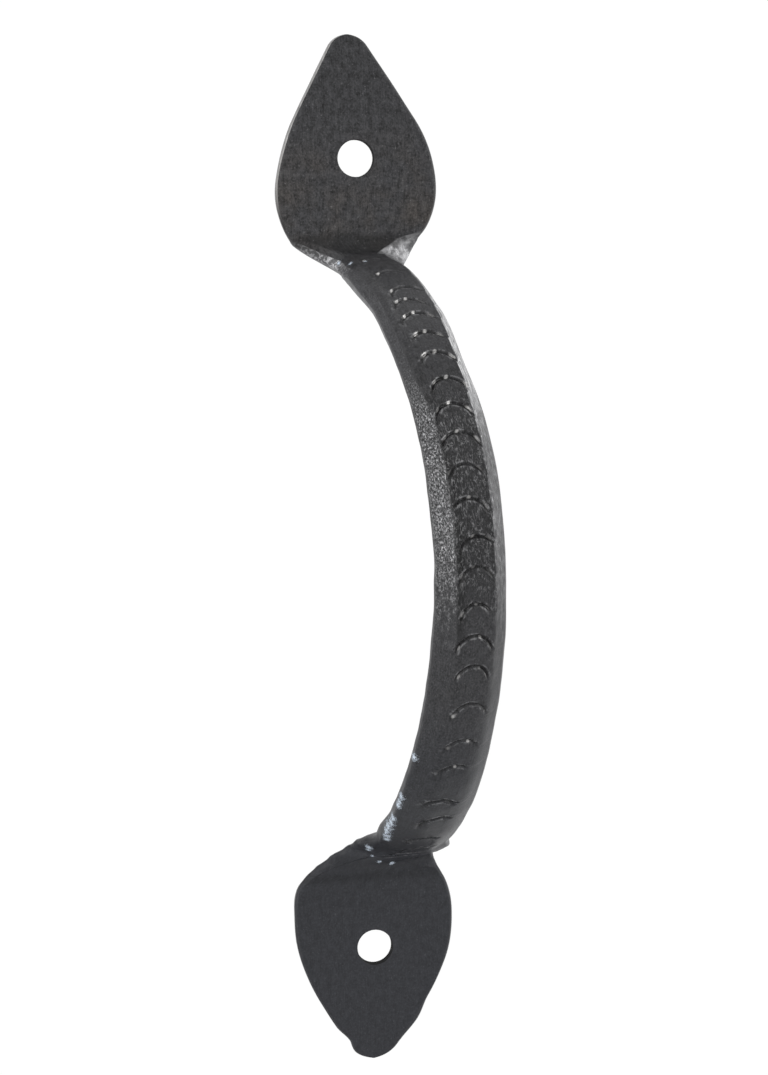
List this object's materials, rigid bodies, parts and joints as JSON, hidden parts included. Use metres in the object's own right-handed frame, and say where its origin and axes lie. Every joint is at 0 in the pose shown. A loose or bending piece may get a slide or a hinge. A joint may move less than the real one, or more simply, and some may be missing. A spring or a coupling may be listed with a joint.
{
  "type": "door pull",
  "caption": "Hand-forged bow door pull with a spade-shaped leaf plate at each end and half-round chisel marks along its grip.",
  "frame": {"origin": "on the wall plane, halfway between the two screw holes", "axes": "+Z along the pull toward the upper leaf's tip, +Y into the wall, the bow stands out toward -Y and leans over toward +X"},
  "size_m": [0.0352, 0.0477, 0.2023],
  "materials": {
    "blackened_steel": "blackened forged steel, satin, bare on some edges"
  },
  "bodies": {
    "root": {"forged_pull": "blackened_steel"}
  },
  "joints": []
}
